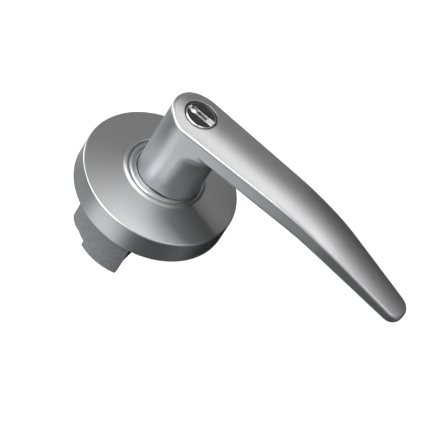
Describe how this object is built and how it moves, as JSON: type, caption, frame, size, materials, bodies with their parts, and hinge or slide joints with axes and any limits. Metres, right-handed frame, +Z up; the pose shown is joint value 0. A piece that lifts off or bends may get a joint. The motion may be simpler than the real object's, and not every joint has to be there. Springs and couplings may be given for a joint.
{
  "type": "lever door lock",
  "caption": "Keyed lever handle with round rose, spring cage and tubular chassis for the outer side of a bored door; the lever turns, the key plug rotates and a retractor slides.",
  "frame": {"origin": "on the lock's turning axis, in the plane of the door's outer face where the rose seats", "axes": "-Y out of the door towards the hand, +Y into the door, +Z up, the lever points along -X from the axis"},
  "size_m": [0.1594, 0.0915, 0.0756],
  "materials": {
    "satin_chrome": "satin chrome plate on die-cast zinc, and on formed steel for the rose",
    "cast_housing": "matt grey cast surface",
    "zinc_plate": "zinc plated sheet steel",
    "steel": "plain machined steel",
    "spring_steel": "oiled spring wire and strip",
    "brass": "machined brass",
    "nickel_brass": "dark nickel plated brass",
    "black_nylon": "moulded black nylon"
  },
  "bodies": {
    "mount": {"rose_cover": "satin_chrome", "neck_collar": "satin_chrome", "neck_bushing": "black_nylon", "mounting_plate": "zinc_plate", "spring_cage": "zinc_plate", "cage_rivets": "zinc_plate", "stop_pin": "steel", "return_spring": "spring_steel", "hub_bearing": "steel", "thrust_washer": "black_nylon", "mounting_posts": "steel", "chassis_housing": "cast_housing", "guide_plate": "zinc_plate", "end_plate": "zinc_plate", "retractor_springs": "spring_steel"},
    "handle": {"lever": "satin_chrome", "spindle_sleeve": "steel", "spring_driver": "steel", "driver_clip": "spring_steel", "spindle_clip": "spring_steel", "rollback_cam": "steel", "catch_spring": "spring_steel", "cylinder_shell": "brass", "driver_pins": "brass", "pin_springs": "spring_steel", "chamber_cover": "brass"},
    "plug": {"plug": "nickel_brass", "plug_clip": "spring_steel", "key_pins": "brass", "tailpiece": "steel"},
    "slide": {"retractor": "steel"},
    "catch": {"lever_catch": "steel"}
  },
  "joints": [
    {"name": "lever_turn", "type": "hinge", "parent": "mount", "child": "handle", "pos_m": [0, 0, 0], "axis": [0, -1, 0], "range_deg": [0, 50], "stiffness_Nm_per_rad": 0.8, "springref_deg": -25.78, "deforming": ["return_spring"]},
    {"name": "key_turn", "type": "hinge", "parent": "handle", "child": "plug", "pos_m": [0, 0, 0], "axis": [0, -1, 0], "range_deg": [-90, 90]},
    {"name": "retractor_slide", "type": "slide", "parent": "mount", "child": "slide", "axis": [-1, 0, 0], "range_m": [0, 0.01047], "stiffness_N_per_m": 150, "springref_m": -0.008, "deforming": ["retractor_springs"]},
    {"name": "catch_press", "type": "slide", "parent": "handle", "child": "catch", "axis": [0, 0, 1], "range_m": [0, 0.0022], "stiffness_N_per_m": 400, "springref_m": -0.002, "deforming": ["catch_spring"]}
  ],
  "couplings": [
    {"joint": "retractor_slide", "follows": "lever_turn", "m_per_rad": 0.012}
  ]
}
